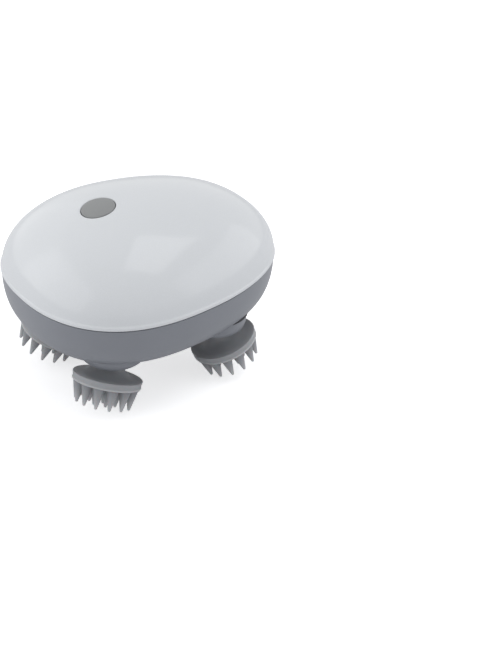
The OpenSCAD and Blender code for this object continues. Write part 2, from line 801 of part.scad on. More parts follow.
// A wire through a list of points, whose runs pass a little beyond each bend
module wire(points, tint) {
    past = WIRE_R / 2;
    last = len(points) - 2;
    color(tint) for (k = [0:last]) {
        d = points[k + 1] - points[k];
        before = k > 0 ? past : 0;
        after = k < last ? past : 0;
        translate(points[k]) rotate([0, atan2(norm([d[0], d[1]]), d[2]), atan2(d[1], d[0])])
            translate([0, 0, -before]) cylinder(r = WIRE_R, h = norm(d) + before + after, $fn = 8);
    }
}

// Point just under the circuit board, by its place along and across the board
function board_point(x, y) =
    let (z = -board_drop - board_t - WIRE_R)
    [-button_x + x * cos(button_tilt) - z * sin(button_tilt), y,
        button_z + x * sin(button_tilt) + z * cos(button_tilt)];

module motor_wires() {
    motor_top_z = deck_z + motor_l + CAP_T;
    for (s = [-1, 1]) {
        start = [motor_at[0] - 3.2, motor_at[1] + s * 3.2 - 0.8, motor_top_z];
        wire([start, start + [0, 0, 1.5], board_point(board_l / 3, s * 3.6)], s > 0 ? red : black);
    }
}
module battery_wires() {
    for (s = [-1, 1]) {
        end = [drive_x + s * (cell_l / 2 + 3 + WIRE_R), cell_y, cell_z];
        wire([end, end + [0, 0, 10], board_point(s * board_l / 3, 9)], s > 0 ? red : black);
    }
}
module charging_wires() {
    for (s = [-1, 1]) {
        y = 1.6 * s;
        wire([
            [socket_back_x, y, jack_z], [wire_slot_x, y, jack_z], [wire_slot_x, y, deck_z + 3],
            [wire_slot_x - 16, 2 * y, deck_z + 20], board_point(board_l / 3, 4 * y)
        ], s > 0 ? red : black);
    }
}

// ---------- one line for each piece ----------

top_shell();
base_shell();
rim_gasket();
power_button();
port_cover();
for (i = [0:3]) {
    drum(i);
    core(i);
    brush(i);
    output_shaft(i);
    output_gear(i);
    bush(i);
    drum_seal(i);
}
gear_tray();
gearbox_cover();
gearbox_screws();
central_gear();
central_axle();
reduction_gear_1();
reduction_axle_1();
reduction_gear_2();
reduction_axle_2();
motor_can();
motor_cap();
motor_shaft();
motor_pinion();
motor_screws();
battery_cell();
battery_cradle();
circuit_board();
board_screws();
tact_switch();
switch_plunger();
charging_socket();
motor_wires();
battery_wires();
charging_wires();
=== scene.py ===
"""Electric scalp massager: smooth outer pieces, materials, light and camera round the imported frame."""
import json
import math

import bmesh
import bpy
from mathutils import Matrix, Vector

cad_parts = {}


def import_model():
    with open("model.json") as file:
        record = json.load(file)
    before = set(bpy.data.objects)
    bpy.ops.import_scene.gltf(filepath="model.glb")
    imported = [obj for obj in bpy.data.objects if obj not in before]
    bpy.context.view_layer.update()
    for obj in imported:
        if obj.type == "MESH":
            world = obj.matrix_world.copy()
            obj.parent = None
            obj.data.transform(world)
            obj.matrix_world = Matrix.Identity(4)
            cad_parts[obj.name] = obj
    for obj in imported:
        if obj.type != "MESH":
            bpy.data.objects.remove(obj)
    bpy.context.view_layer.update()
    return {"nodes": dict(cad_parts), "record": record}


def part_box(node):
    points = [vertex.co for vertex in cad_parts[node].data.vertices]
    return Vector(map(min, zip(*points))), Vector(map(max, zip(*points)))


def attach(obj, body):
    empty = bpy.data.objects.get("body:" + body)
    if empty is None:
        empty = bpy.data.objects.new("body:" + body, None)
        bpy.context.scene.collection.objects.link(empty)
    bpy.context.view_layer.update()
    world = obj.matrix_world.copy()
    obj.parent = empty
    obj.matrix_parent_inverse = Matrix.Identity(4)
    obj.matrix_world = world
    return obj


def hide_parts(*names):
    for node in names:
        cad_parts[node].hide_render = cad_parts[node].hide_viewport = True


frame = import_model()

MM = 0.001
SIDES = ("front_left", "front_right", "rear_left", "rear_right")

# ---------- sizes, as in the CAD ----------

# Plan outline: an egg-shaped superellipse
PLAN_POWER = 2.3
TAPER = 0.2
HALF_W = 49 * MM
WALL = 2.2 * MM

# Base: how far its edge rounds in, how square that rounding is, and the bulge of its underside
BASE_ROUND = 12 * MM
BASE_POWER = 2.4
BASE_CROWN = 1.2 * MM
CROWN_AT_HEADS = 0.5

# Gasket
GASKET_INSET = 0.5 * MM
GASKET_W = 1.4 * MM

# Button, with heights along its axis measured from the dome's surface
BUTTON_X = 24 * MM
BUTTON_R = 7.4 * MM
BUTTON_GAP = 0.3 * MM
BUTTON_PROUD = 0.3 * MM
BUTTON_CROWN_R = 70 * MM
BUTTON_STEM_R = 2 * MM
FLANGE_OUT = 1.1 * MM
FLANGE_DROP = 1.1 * MM
FLANGE_T = 1 * MM
PLUNGER_TOP = -4.7 * MM

# Drums
DRUM_R = 14.9 * MM
DRUM_GAP = 0.7 * MM
BOWL_R = 9.9 * MM
BOWL_FLOOR_UP = 0.6 * MM
BOWL_CORNER_R = 1 * MM
LIP_R = 1.3 * MM
SHAFT_R = 2 * MM
SHOULDER_H = 4.4 * MM

# Heads, with heights along the leaning axis measured from its pivot
LEANS = dict(zip(SIDES, (-150, -25, 138, 40)))
LEAN = math.radians(22)
PIVOT_DROP = 1 * MM
NECK_R = 6.4 * MM
FLARE_START = 7.4 * MM
DISC_R = 15.4 * MM
DISC_TOP = 12.5 * MM
DISC_LOW = 16.1 * MM

# Fingers, and their rings: radius, count and first angle of each
FINGER_L = 9.5 * MM
FINGER_R = 2.5 * MM
TIP_R = 0.65 * MM
RINGS = ((0, 1, 0), (6.0 * MM, 7, 90), (12.15 * MM, 13, 0))

# Charging port
COVER_GAP = 0.3 * MM
POCKET_CORNER_R = 1.3 * MM
POCKET_DEPTH = 8 * MM
SOCKET_NOSE_R = 2.6 * MM
NOSE_GAP = 0.1 * MM

# ---------- how fine the meshes are ----------

PLAN_COLUMNS = 256
HEAD_COLUMNS = 144
BUTTON_COLUMNS = 128
FINGER_COLUMNS = 28
NOSE_COLUMNS = 48
DRUM_HOLE_COLUMNS = 160
DOME_ROWS, DOME_INNER_ROWS = 64, 24
BASE_SIDE_ROWS, BASE_CROWN_ROWS = 44, 22
BASE_INNER_SIDE_ROWS, BASE_INNER_CROWN_ROWS = 20, 8

# ---------- places, from the frame ----------


def middle(node):
    low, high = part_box(node)
    return (low + high) / 2


gasket_low, gasket_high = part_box("rim_gasket")
SEAM_Z = gasket_high.z
BASE_TOP_Z = gasket_low.z
HALF_L = gasket_high.x + GASKET_INSET
DOME_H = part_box("top_shell")[1].z - SEAM_Z
BASE_DEPTH = SEAM_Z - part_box("base_shell")[0].z - BASE_CROWN
HOLE_Z = SEAM_Z - BASE_DEPTH - CROWN_AT_HEADS * BASE_CROWN
PIVOT_Z = HOLE_Z - PIVOT_DROP
BOWL_FLOOR_Z = HOLE_Z + BOWL_FLOOR_UP
SOCKET_BACK_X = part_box("charging_socket")[0].x
SOCKET_Z = middle("charging_socket").z
cover_low, cover_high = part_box("port_cover")
COVER_BACK_X = cover_low.x
COVER_W = cover_high.y - cover_low.y
COVER_H = cover_high.z - cover_low.z
COVER_Z = (cover_low.z + cover_high.z) / 2

# ---------- the case's outline ----------


def circle(steps):
    return [2 * math.pi * i / steps for i in range(steps)]


PLAN_PARAMS = circle(PLAN_COLUMNS)


def plan(t, a, b, z):
    """Point of the egg-shaped plan outline, at its parameter t."""
    ux = math.copysign(abs(math.cos(t)) ** (2 / PLAN_POWER), math.cos(t))
    uy = math.copysign(abs(math.sin(t)) ** (2 / PLAN_POWER), math.sin(t))
    return Vector((a * ux, b * uy * (1 - TAPER * ux), z))


def inset_loop(d, z):
    """The plan outline inset by d, at height z."""
    return [plan(t, HALF_L - d, HALF_W - d, z) for t in PLAN_PARAMS]


def gauge(x, y, a, b):
    """How far out (x, y) lies in the plan, where 0 is the middle and 1 the outline."""
    s = max(math.hypot(x / a, y / b), 1e-6)
    for _ in range(8):
        ux = x / (a * s)
        uy = y / (b * s * (1 - TAPER * ux))
        s *= (abs(ux) ** PLAN_POWER + abs(uy) ** PLAN_POWER) ** (1 / PLAN_POWER)
    return s


def dome_height(x, y, d):
    s = min(gauge(x, y, HALF_L - d, HALF_W - d), 1)
    return SEAM_Z + (DOME_H - d) * math.sqrt(1 - s * s)


# Button frame: its middle on the dome, and its axes
BUTTON_TILT = math.atan(
    DOME_H / HALF_L * BUTTON_X / HALF_L / math.sqrt(1 - (BUTTON_X / HALF_L) ** 2)
)
BUTTON_AT = Vector((-BUTTON_X, 0, dome_height(-BUTTON_X, 0, 0)))
BUTTON_OUT = Vector((-math.sin(BUTTON_TILT), 0, math.cos(BUTTON_TILT)))
BUTTON_EX = Vector((math.cos(BUTTON_TILT), 0, math.sin(BUTTON_TILT)))
BUTTON_EY = Vector((0, 1, 0))


def on_button(r, phi, w):
    """Point at radius r, angle phi and height w in the button's frame."""
    return (BUTTON_AT + r * math.cos(phi) * BUTTON_EX + r * math.sin(phi) * BUTTON_EY
            + w * BUTTON_OUT)


def on_dome_at(r, phi, d):
    """Height along the button's axis at which the cylinder of radius r meets the dome inset by d."""
    w = -d
    for _ in range(12):
        p = on_button(r, phi, w)
        w += (dome_height(p.x, p.y, d) - p.z) * BUTTON_OUT.z
    return w


# ---------- mesh helpers ----------


def shade(mesh, smooth_angle):
    mesh.shade_smooth()
    mesh.set_sharp_from_angle(angle=math.radians(smooth_angle))


def new_object(name, verts, faces, smooth_angle=40):
    mesh = bpy.data.meshes.new(name)
    mesh.from_pydata([tuple(v) for v in verts], [], faces)
    bm = bmesh.new()
    bm.from_mesh(mesh)
    bmesh.ops.recalc_face_normals(bm, faces=bm.faces)
    bm.to_mesh(mesh)
    bm.free()
    shade(mesh, smooth_angle)
    obj = bpy.data.objects.new(name, mesh)
    bpy.context.scene.collection.objects.link(obj)
    return obj


def tube_faces(rows, columns, closed):
    """Quads between rows of vertices, each row a loop. Closed joins the last row to the first."""
    faces = []
    for k in range(rows if closed else rows - 1):
        low, high = k * columns, (k + 1) % rows * columns
        for i in range(columns):
            j = (i + 1) % columns
            faces.append((low + i, low + j, high + j, high + i))
    return faces


def cap_faces(rows, columns):
    """One face over the first row and one over the last."""
    last = (rows - 1) * columns
    return [tuple(range(columns))[::-1], tuple(range(last, last + columns))]


def loops_object(name, rows, closed=False, capped=False, smooth_angle=40):
    """An object through loops of points. Capped closes both ends with one face each."""
    columns = len(rows[0])
    faces = tube_faces(len(rows), columns, closed)
    if capped:
        faces += cap_faces(len(rows), columns)
    return new_object(name, [p for r in rows for p in r], faces, smooth_angle)


def lathe(profile, steps, place):
    """Loops of a turned profile of (radius, height) pairs. place(r, angle, h) gives a point."""
    return [[place(r, a, h) for a in circle(steps)] for r, h in profile]


def arc(cx, cy, r, start, end, steps):
    """Points of an arc round (cx, cy), its angles in degrees."""
    angles = [math.radians(start + (end - start) * k / steps) for k in range(steps + 1)]
    return [(cx + r * math.cos(a), cy + r * math.sin(a)) for a in angles]


def rounded_rect(w, h, r, steps=6):
    """Points of a rounded rectangle of full size w by h, round its middle."""
    points = []
    for cx, cy, start in ((1, 1, 0), (-1, 1, 90), (-1, -1, 180), (1, -1, 270)):
        points += arc(cx * (w / 2 - r), cy * (h / 2 - r), r, start, start + 90, steps)
    return points


def port_block(name, w, h, low, high):
    """A rounded block of full size w by h round the flap's middle, from x low to x high."""
    outline = rounded_rect(w, h, POCKET_CORNER_R)
    rows = [[Vector((x, p, COVER_Z + q)) for p, q in outline] for x in (low, high)]
    return loops_object(name, rows, capped=True)


def cylinder(name, r, low, high, steps):
    """A plain turned cutter between two points on one axis."""
    axis = (high - low).normalized()
    turn = axis.to_track_quat("Z", "X").to_matrix()
    rows = lathe(((r, 0), (r, (high - low).length)), steps,
                 lambda q, a, h: low + turn @ Vector((q * math.cos(a), q * math.sin(a), h)))
    return loops_object(name, rows, capped=True)


def nose_cutter(name, low, high, z):
    """The hole round the socket's nose, from x low to x high."""
    return cylinder(
        name, SOCKET_NOSE_R + NOSE_GAP, Vector((low, 0, z)), Vector((high, 0, z)), NOSE_COLUMNS
    )


def cut(obj, cutters):
    """Cuts the cutters out of obj, and removes them."""
    for cutter in cutters:
        mod = obj.modifiers.new("cut", "BOOLEAN")
        mod.operation, mod.solver, mod.object = "DIFFERENCE", "EXACT", cutter
    dg = bpy.context.evaluated_depsgraph_get()
    mesh = bpy.data.meshes.new_from_object(obj.evaluated_get(dg))
    obj.modifiers.clear()
    obj.data = mesh
    shade(mesh, 40)
    for cutter in cutters:
        bpy.data.objects.remove(cutter)
    return obj


# ---------- materials ----------

# Ends of a noise's range: WIDE keeps the variation slow and soft, MIDDLE makes it firmer
WIDE = (0.05, 0.95)
MIDDLE = (0.35, 0.65)
GRAIN = (0.4, 0.7)
FULL = (0.0, 1.0)


def shader(name, colour, roughness, **sockets):
    mat = bpy.data.materials.new(name)
    mat.use_nodes = True
    bsdf = mat.node_tree.nodes["Principled BSDF"]
    bsdf.inputs["Base Color"].default_value = (*colour, 1)
    bsdf.inputs["Roughness"].default_value = roughness
    for key, value in sockets.items():
        bsdf.inputs[key.replace("_", " ")].default_value = value
    return mat, mat.node_tree, bsdf


def add(tree, kind, inputs=(), **values):
    """A node with its settings. Each input is a value or another node's output."""
    item = tree.nodes.new(kind)
    for key, value in values.items():
        setattr(item, key, value)
    for key, value in inputs:
        if hasattr(value, "links"):
            tree.links.new(value, item.inputs[key])
        else:
            item.inputs[key].default_value = value
    return item


def object_noise(tree, scale, detail=3, rough=0.5):
    where = add(tree, "ShaderNodeTexCoord")
    return add(
        tree,
        "ShaderNodeTexNoise",
        [("Vector", where.outputs["Object"]), ("Scale", scale), ("Detail", detail), ("Roughness", rough)],
    ).outputs["Fac"]


def ramp(tree, factor, low, high, ends):
    item = add(tree, "ShaderNodeValToRGB", [("Fac", factor)])
    for element, position, colour in zip(item.color_ramp.elements, ends, (low, high)):
        element.position, element.color = position, (*colour, 1)
    return item.outputs["Color"]


def span(tree, factor, low, high, ends):
    """The factor's range between ends, laid out from low to high."""
    return add(
        tree,
        "ShaderNodeMapRange",
        [("Value", factor), ("From Min", ends[0]), ("From Max", ends[1]), ("To Min", low), ("To Max", high)],
    ).outputs["Result"]


def mix(tree, factor, a, b):
    item = add(tree, "ShaderNodeMix", data_type="RGBA", blend_type="MIX")
    for socket, value in ((item.inputs[0], factor), (item.inputs[6], a), (item.inputs[7], b)):
        if hasattr(value, "links"):
            tree.links.new(value, socket)
        else:
            socket.default_value = (*value, 1)
    return item.outputs[2]


def bump(tree, bsdf, height, distance):
    item = add(tree, "ShaderNodeBump", [("Height", height), ("Distance", distance), ("Strength", 1.0)])
    tree.links.new(item.outputs["Normal"], bsdf.inputs["Normal"])


def edges(tree):
    """1 along convex edges, 0 elsewhere."""
    where = add(tree, "ShaderNodeNewGeometry").outputs["Pointiness"]
    return span(tree, where, 0.0, 1.0, (0.52, 0.62))


def scaled(colour, k):
    return tuple(min(c * k, 1) for c in colour)


def moulded(name, colour, roughness, grain=2500, depth=0.012, vary=0.04, wear_and_highlight=0.12, **sockets):
    """Moulded plastic or rubber: fine grain, slow colour variation, and convex edges a little paler, partly
    wear and partly a painted highlight.
    """
    mat, tree, bsdf = shader(name, colour, roughness, **sockets)
    slow = object_noise(tree, 28, 2)
    fine = object_noise(tree, grain, 2, 0.6)
    body = ramp(tree, slow, scaled(colour, 1 - 2 * vary), scaled(colour, 1 + 2 * vary), WIDE)
    body = mix(tree, span(tree, fine, 0.0, 0.5, GRAIN), body, scaled(colour, 1 - 1.5 * vary))
    # Convex edges paler: partly wear, partly a painted highlight.
    worn_and_highlit = mix(tree, span(tree, edges(tree), 0.0, wear_and_highlight, FULL), body, scaled(colour, 1.5))
    tree.links.new(worn_and_highlit, bsdf.inputs["Base Color"])
    tree.links.new(span(tree, slow, roughness - 0.06, roughness + 0.08, WIDE), bsdf.inputs["Roughness"])
    bump(tree, bsdf, fine, depth * MM)
    return mat


def pearl():
    """Pearl paint: fine pale flake in the body, partly a painted glint, under a soft clear coat."""
    colour = (0.72, 0.735, 0.75)
    flake_and_glint_colour = (0.80, 0.82, 0.86)
    mat, tree, bsdf = shader(
        "pearl_shell", colour, 0.3, Specular_IOR_Level=0.15, Coat_Weight=0.5, Coat_Roughness=0.1, Coat_IOR=1.5
    )
    slow = object_noise(tree, 22, 2)
    flake_glint_cells = add(
        tree, "ShaderNodeTexVoronoi",
        [("Vector", add(tree, "ShaderNodeTexCoord").outputs["Object"]), ("Scale", 5200.0)],
    )
    body = ramp(tree, slow, scaled(colour, 0.97), scaled(colour, 1.03), WIDE)
    glint = span(tree, flake_glint_cells.outputs["Color"], 0.0, 0.35, (0.45, 1.0))
    # Pale flake speckle, partly a painted glint.
    body = mix(tree, glint, body, flake_and_glint_colour)
    tree.links.new(body, bsdf.inputs["Base Color"])
    tree.links.new(span(tree, slow, 0.24, 0.36, WIDE), bsdf.inputs["Roughness"])
    bump(tree, bsdf, object_noise(tree, 900, 2), 0.004 * MM)
    return mat


def silicone():
    """Satin silicone, with light through its thin tips and disc edge painted in as a paler colour, and a
    painted highlight along its convex rims.
    """
    colour = (0.27, 0.275, 0.29)
    painted_glow_colour, painted_rim_highlight = (0.60, 0.61, 0.62), (0.6, 0.6, 0.62)
    mat, tree, bsdf = shader(
        "grey_silicone", colour, 0.42, Subsurface_Weight=0.12, Subsurface_Scale=0.002, Sheen_Weight=0.08
    )
    slow = object_noise(tree, 60, 2)
    fine = object_noise(tree, 1800, 2, 0.6)
    thin = add(tree, "ShaderNodeAttribute", attribute_name="thin").outputs["Fac"]
    body = ramp(tree, slow, scaled(colour, 0.92), scaled(colour, 1.08), WIDE)
    body = mix(tree, span(tree, fine, 0.0, 0.4, GRAIN), body, scaled(colour, 0.9))
    # Painted glow: thin tips and the disc's edge paler, as if lit through.
    body = mix(tree, span(tree, thin, 0.0, 0.9, FULL), body, painted_glow_colour)
    # Painted highlight: convex edges paler.
    body = mix(tree, span(tree, edges(tree), 0.0, 0.35, FULL), body, painted_rim_highlight)
    tree.links.new(body, bsdf.inputs["Base Color"])
    tree.links.new(span(tree, slow, 0.34, 0.52, WIDE), bsdf.inputs["Roughness"])
    bump(tree, bsdf, fine, 0.015 * MM)
    return mat


def metal(name, colour, roughness):
    """Turned metal, with fine rings across its height."""
    mat, tree, bsdf = shader(name, colour, roughness, Metallic=1.0)
    where = add(tree, "ShaderNodeTexCoord")
    turned = add(
        tree, "ShaderNodeMapping", [("Vector", where.outputs["Object"]), ("Scale", (40, 40, 6000))]
    )
    lines = add(tree, "ShaderNodeTexNoise", [("Vector", turned.outputs["Vector"]), ("Scale", 1.0)])
    fine = lines.outputs["Fac"]
    tree.links.new(
        ramp(tree, fine, scaled(colour, 0.9), scaled(colour, 1.06), MIDDLE), bsdf.inputs["Base Color"]
    )
    tree.links.new(span(tree, fine, roughness - 0.06, roughness + 0.08, MIDDLE), bsdf.inputs["Roughness"])
    bump(tree, bsdf, fine, 0.004 * MM)
    return mat


SLATE = (0.235, 0.245, 0.272)
BUTTON_GREY = (0.265, 0.27, 0.27)
SEAL_BLACK = (0.022, 0.022, 0.026)
NATURAL = (0.78, 0.75, 0.66)
DARK = (0.024, 0.024, 0.028)
STEEL = (0.62, 0.62, 0.64)
BRASS = (0.70, 0.52, 0.22)
MASK_GREEN = (0.02, 0.13, 0.05)
WRAP_BLUE = (0.03, 0.10, 0.32)
WIRE_RED = (0.30, 0.02, 0.015)

materials = {
    "pearl_shell": pearl(),
    "slate_shell": moulded("satin_slate", SLATE, 0.36, grain=2200, Coat_Weight=0.12, Coat_Roughness=0.3),
    "silicone": silicone(),
    "button_plastic": moulded("button_grey", BUTTON_GREY, 0.4, grain=2600),
    "seal_rubber": moulded("seal_rubber", SEAL_BLACK, 0.6, wear_and_highlight=0.05),
    "acetal": moulded("acetal", NATURAL, 0.45),
    "dark_plastic": moulded("dark_plastic", DARK, 0.5, grain=1500, depth=0.02),
    "steel": metal("turned_steel", STEEL, 0.28),
    "brass": metal("turned_brass", BRASS, 0.3),
    "board_laminate": moulded("solder_mask", MASK_GREEN, 0.35, grain=1200),
    "cell_wrap": moulded("cell_wrap", WRAP_BLUE, 0.3, grain=1500, depth=0.006),
    "wire_cover": moulded("wire_cover", WIRE_RED, 0.45),
}
for part in frame["record"]["subparts"]:
    cad = frame["nodes"][part["node"]]
    while len(cad.data.materials) < 1:
        cad.data.materials.append(None)
    for held in cad.material_slots:
        held.material = materials[part["material_slot"]]


def finish_piece(obj, slot, body, *nodes):
    """Gives a piece its material and body, and hides the CAD nodes it stands for."""
    obj.data.materials.clear()
    obj.data.materials.append(materials[slot])
    if nodes:
        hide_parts(*nodes)
    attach(obj, body)


# ---------- dome ----------

# Bead along the dome's edge: heights above the seam and how far each stands out, in mm
BEAD_PROFILE = (
    (0, 0.22), (0.08, 0.36), (0.25, 0.45), (0.5, 0.48), (0.9, 0.48), (1.25, 0.44), (1.55, 0.34),
    (1.75, 0.2), (1.95, 0.08), (2.2, 0.02), (2.6, 0),
)


def dome_fan(starts, ends, d, steps):
    """Loops on the dome inset by d, between its foot and the button's hole."""
    made = []
    for k in range(1, steps):
        row = []
        for a, b in zip(starts, ends):
            low = math.asin(min(1, max(0.0, (a.z - SEAM_Z) / (DOME_H - d))))
            high = math.asin(min(1, (b.z - SEAM_Z) / (DOME_H - d)))
            turn = low + (high - low) * k / steps
            share = (math.cos(low) - math.cos(turn)) / (math.cos(low) - math.cos(high))
            x, y = a.x + (b.x - a.x) * share, a.y + (b.y - a.y) * share
            row.append(Vector((x, y, dome_height(x, y, d))))
        made.append(row)
    return made


def top_shell():
    hole_r, soft = BUTTON_R + BUTTON_GAP, 0.35 * MM
    rows = [inset_loop(WALL, SEAM_Z)]
    for h, out in BEAD_PROFILE:
        s = math.sqrt(1 - (h * MM / DOME_H) ** 2)
        rows.append([
            plan(t, HALF_L * s + out * MM, HALF_W * s + out * MM, SEAM_Z + h * MM) for t in PLAN_PARAMS
        ])
    turns = [math.atan2(p.y, p.x + BUTTON_X) for p in rows[-1]]
    lip = [on_button(hole_r + soft, f, on_dome_at(hole_r + soft, f, 0)) for f in turns]
    rows += dome_fan(rows[-1], lip, 0, DOME_ROWS)
    rows.append(lip)
    for a in (25, 50, 70, 90):
        r = hole_r + soft * (1 - math.sin(math.radians(a)))
        sink = soft * (1 - math.cos(math.radians(a)))
        rows.append([on_button(r, f, on_dome_at(r, f, 0) - sink) for f in turns])
    inner_lip = [on_button(hole_r, f, on_dome_at(hole_r, f, WALL)) for f in turns]
    inner_foot = inset_loop(WALL, SEAM_Z + 0.02 * MM)
    rows.append(inner_lip)
    rows += dome_fan(inner_foot, inner_lip, WALL, DOME_INNER_ROWS)[::-1]
    return loops_object("dome_shell", rows, closed=True, smooth_angle=50)


finish_piece(top_shell(), "pearl_shell", "case", "top_shell")

# ---------- base ----------


def base_rows(d, side_steps, crown_steps):
    """Loops of the base solid inset by d, from its rim down and in to near the middle."""
    reach = 0.97
    rows = []
    for k in range(side_steps + 1):
        a = math.pi / 2 * k / side_steps
        inset = BASE_ROUND * (1 - math.cos(a) ** (2 / BASE_POWER))
        drop = BASE_DEPTH * math.sin(a) ** (2 / BASE_POWER) * (BASE_DEPTH - d) / BASE_DEPTH
        if SEAM_Z - drop > BASE_TOP_Z:
            continue
        rows.append(inset_loop(inset + d, SEAM_Z - drop))
    for k in range(1, crown_steps + 1):
        s = 1 - reach * k / crown_steps
        z = SEAM_Z - BASE_DEPTH - BASE_CROWN * (1 - s * s) + d
        rows.append([
            plan(t, (HALF_L - BASE_ROUND - d) * s, (HALF_W - BASE_ROUND - d) * s, z) for t in PLAN_PARAMS
        ])
    return rows


def base_side_x(y, z):
    """X of the base's outer surface at the narrow end."""
    drop = max(0.0, SEAM_Z - z) / BASE_DEPTH
    a = math.asin(min(1, drop ** (BASE_POWER / 2)))
    inset = BASE_ROUND * (1 - math.cos(a) ** (2 / BASE_POWER))
    ux = 1
    for _ in range(6):
        uy = y / ((HALF_W - inset) * (1 - TAPER * ux))
        ux = (1 - abs(uy) ** PLAN_POWER) ** (1 / PLAN_POWER)
    return (HALF_L - inset) * ux


def base_shell():
    """The lower shell, with the holes for the drums and the socket's nose, and the flap's pocket."""
    outer = base_rows(0, BASE_SIDE_ROWS, BASE_CROWN_ROWS)
    inner = base_rows(WALL, BASE_INNER_SIDE_ROWS, BASE_INNER_CROWN_ROWS)
    lip = inset_loop(0.05 * MM, BASE_TOP_Z)
    inner_lip = inset_loop(WALL, BASE_TOP_Z)
    shell = loops_object("lower_shell", outer[::-1] + [lip, inner_lip] + inner, capped=True)
    below, above = HOLE_Z - 10 * MM, HOLE_Z + 20 * MM
    cutters = []
    for side in SIDES:
        at = middle("drum_" + side)
        cutters.append(cylinder(
            "hole_" + side, DRUM_R + DRUM_GAP,
            Vector((at.x, at.y, below)), Vector((at.x, at.y, above)), DRUM_HOLE_COLUMNS,
        ))
    cutters.append(nose_cutter("nose_hole", SOCKET_BACK_X, COVER_BACK_X + 1 * MM, SOCKET_Z))
    floor_x = COVER_BACK_X - 0.15 * MM
    cutters.append(port_block(
        "pocket", COVER_W + 2 * COVER_GAP, COVER_H + 2 * COVER_GAP, floor_x, floor_x + POCKET_DEPTH
    ))
    return cut(shell, cutters)


def pocket_floor():
    """The block behind the flap's pocket, with the hole for the socket's nose."""
    low, high = COVER_BACK_X - 2.6 * MM, COVER_BACK_X - 0.17 * MM
    over = 1 * MM
    block = port_block("pocket_floor", COVER_W + 4 * MM, COVER_H + 2.4 * MM, low, high)
    return cut(block, [nose_cutter("floor_hole", low - over, high + over, COVER_Z)])


def rim_gasket():
    inner_d = GASKET_INSET + GASKET_W
    corners = (
        (inner_d, BASE_TOP_Z), (GASKET_INSET, BASE_TOP_Z), (GASKET_INSET, SEAM_Z), (inner_d, SEAM_Z)
    )
    return loops_object("seam_gasket", [inset_loop(d, z) for d, z in corners], closed=True)


def port_cover():
    """The flap follows the base's surface, with softened edges."""
    soft, sunk = 0.35 * MM, 0.05 * MM
    corner_r, least_corner_r = 1.0 * MM, 0.1 * MM

    def loop(shrink, depth):
        """The flap's outline shrunk all round, at a depth below its face, or on its flat back."""
        r = max(corner_r - shrink * 0.5, least_corner_r)
        row = []
        for p, q in rounded_rect(COVER_W - 2 * shrink, COVER_H - 2 * shrink, r):
            z = COVER_Z + q
            x = COVER_BACK_X if depth is None else base_side_x(p, z) - sunk - depth
            row.append(Vector((x, p, z)))
        return row

    rows = [loop(0, None)]
    for a in (0, 30, 60, 90):
        turn = math.radians(a)
        rows.append(loop(soft * (1 - math.cos(turn)), soft * (1 - math.sin(turn))))
    rows += [loop(s * MM, 0) for s in (0.9, 1.8, 2.8, 3.8)]
    return loops_object("port_cover_flap", rows, capped=True)


finish_piece(base_shell(), "slate_shell", "case", "base_shell")
finish_piece(pocket_floor(), "slate_shell", "case")
finish_piece(rim_gasket(), "seal_rubber", "case", "rim_gasket")
finish_piece(port_cover(), "slate_shell", "port_flap", "port_cover")

# ---------- button ----------


def power_button():
    """A round cap with a softly crowned face, a flange under the dome and a stem."""
    def crown(r):
        return BUTTON_PROUD - BUTTON_CROWN_R + math.sqrt(BUTTON_CROWN_R ** 2 - r * r)

    soft, middle_r = 0.45 * MM, 0.15 * MM
    flange_top, flange_r = -WALL - FLANGE_DROP, BUTTON_R + FLANGE_OUT
    face = (2 * MM, 4 * MM, 6 * MM, BUTTON_R - 1.2 * MM)
    profile = [(middle_r, crown(0))] + [(r, crown(r)) for r in face]
    profile += arc(BUTTON_R - soft, crown(BUTTON_R - soft) - soft, soft, 88, 0, 6)
    profile += [(BUTTON_R, flange_top), (flange_r, flange_top), (flange_r, flange_top - FLANGE_T),
                (BUTTON_STEM_R, flange_top - FLANGE_T), (BUTTON_STEM_R, PLUNGER_TOP),
                (middle_r, PLUNGER_TOP)]
    rows = lathe(profile, BUTTON_COLUMNS, on_button)
    return loops_object("button_cap", rows, capped=True, smooth_angle=35)


finish_piece(power_button(), "button_plastic", "button", "power_button")

# ---------- heads ----------


def drum(side):
    """A collar with a softly rounded lip round an open bowl."""
    at = middle("drum_" + side)
    low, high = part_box("drum_" + side)
    corner_r, shoulder_w = BOWL_R - BOWL_CORNER_R, DRUM_R - BOWL_R - LIP_R
    profile = [(SHAFT_R, high.z), (SHAFT_R, BOWL_FLOOR_Z), (corner_r, BOWL_FLOOR_Z)]
    profile += arc(corner_r, BOWL_FLOOR_Z - BOWL_CORNER_R, BOWL_CORNER_R, 90, 0, 6)
    profile += [(BOWL_R, low.z + LIP_R)]
    profile += arc(BOWL_R + LIP_R, low.z + LIP_R, LIP_R, 180, 270, 10)
    for k in range(1, 19):
        a = math.radians(5 * k)
        profile.append((
            DRUM_R - shoulder_w * (1 - math.sin(a)), low.z + SHOULDER_H * (1 - math.cos(a))
        ))
    profile += [(DRUM_R, high.z)]
    rows = lathe(profile, HEAD_COLUMNS,
                 lambda r, a, z: Vector((at.x + r * math.cos(a), at.y + r * math.sin(a), z)))
    return loops_object("collar_" + side, rows, closed=True)


def head_frame(side):
    """Pivot and axes of a leaning head. Its third axis points down along the head."""
    at = middle("drum_" + side)
    turn = math.radians(LEANS[side])
    spin = Matrix.Rotation(turn, 3, "Z") @ Matrix.Rotation(math.pi - LEAN, 3, "Y")
    return Vector((at.x, at.y, PIVOT_Z)), spin


def steps_between(start, end, count):
    """Points from start to end, without the first."""
    return [
        (start[0] + (end[0] - start[0]) * k / count, start[1] + (end[1] - start[1]) * k / count)
        for k in range(1, count + 1)
    ]


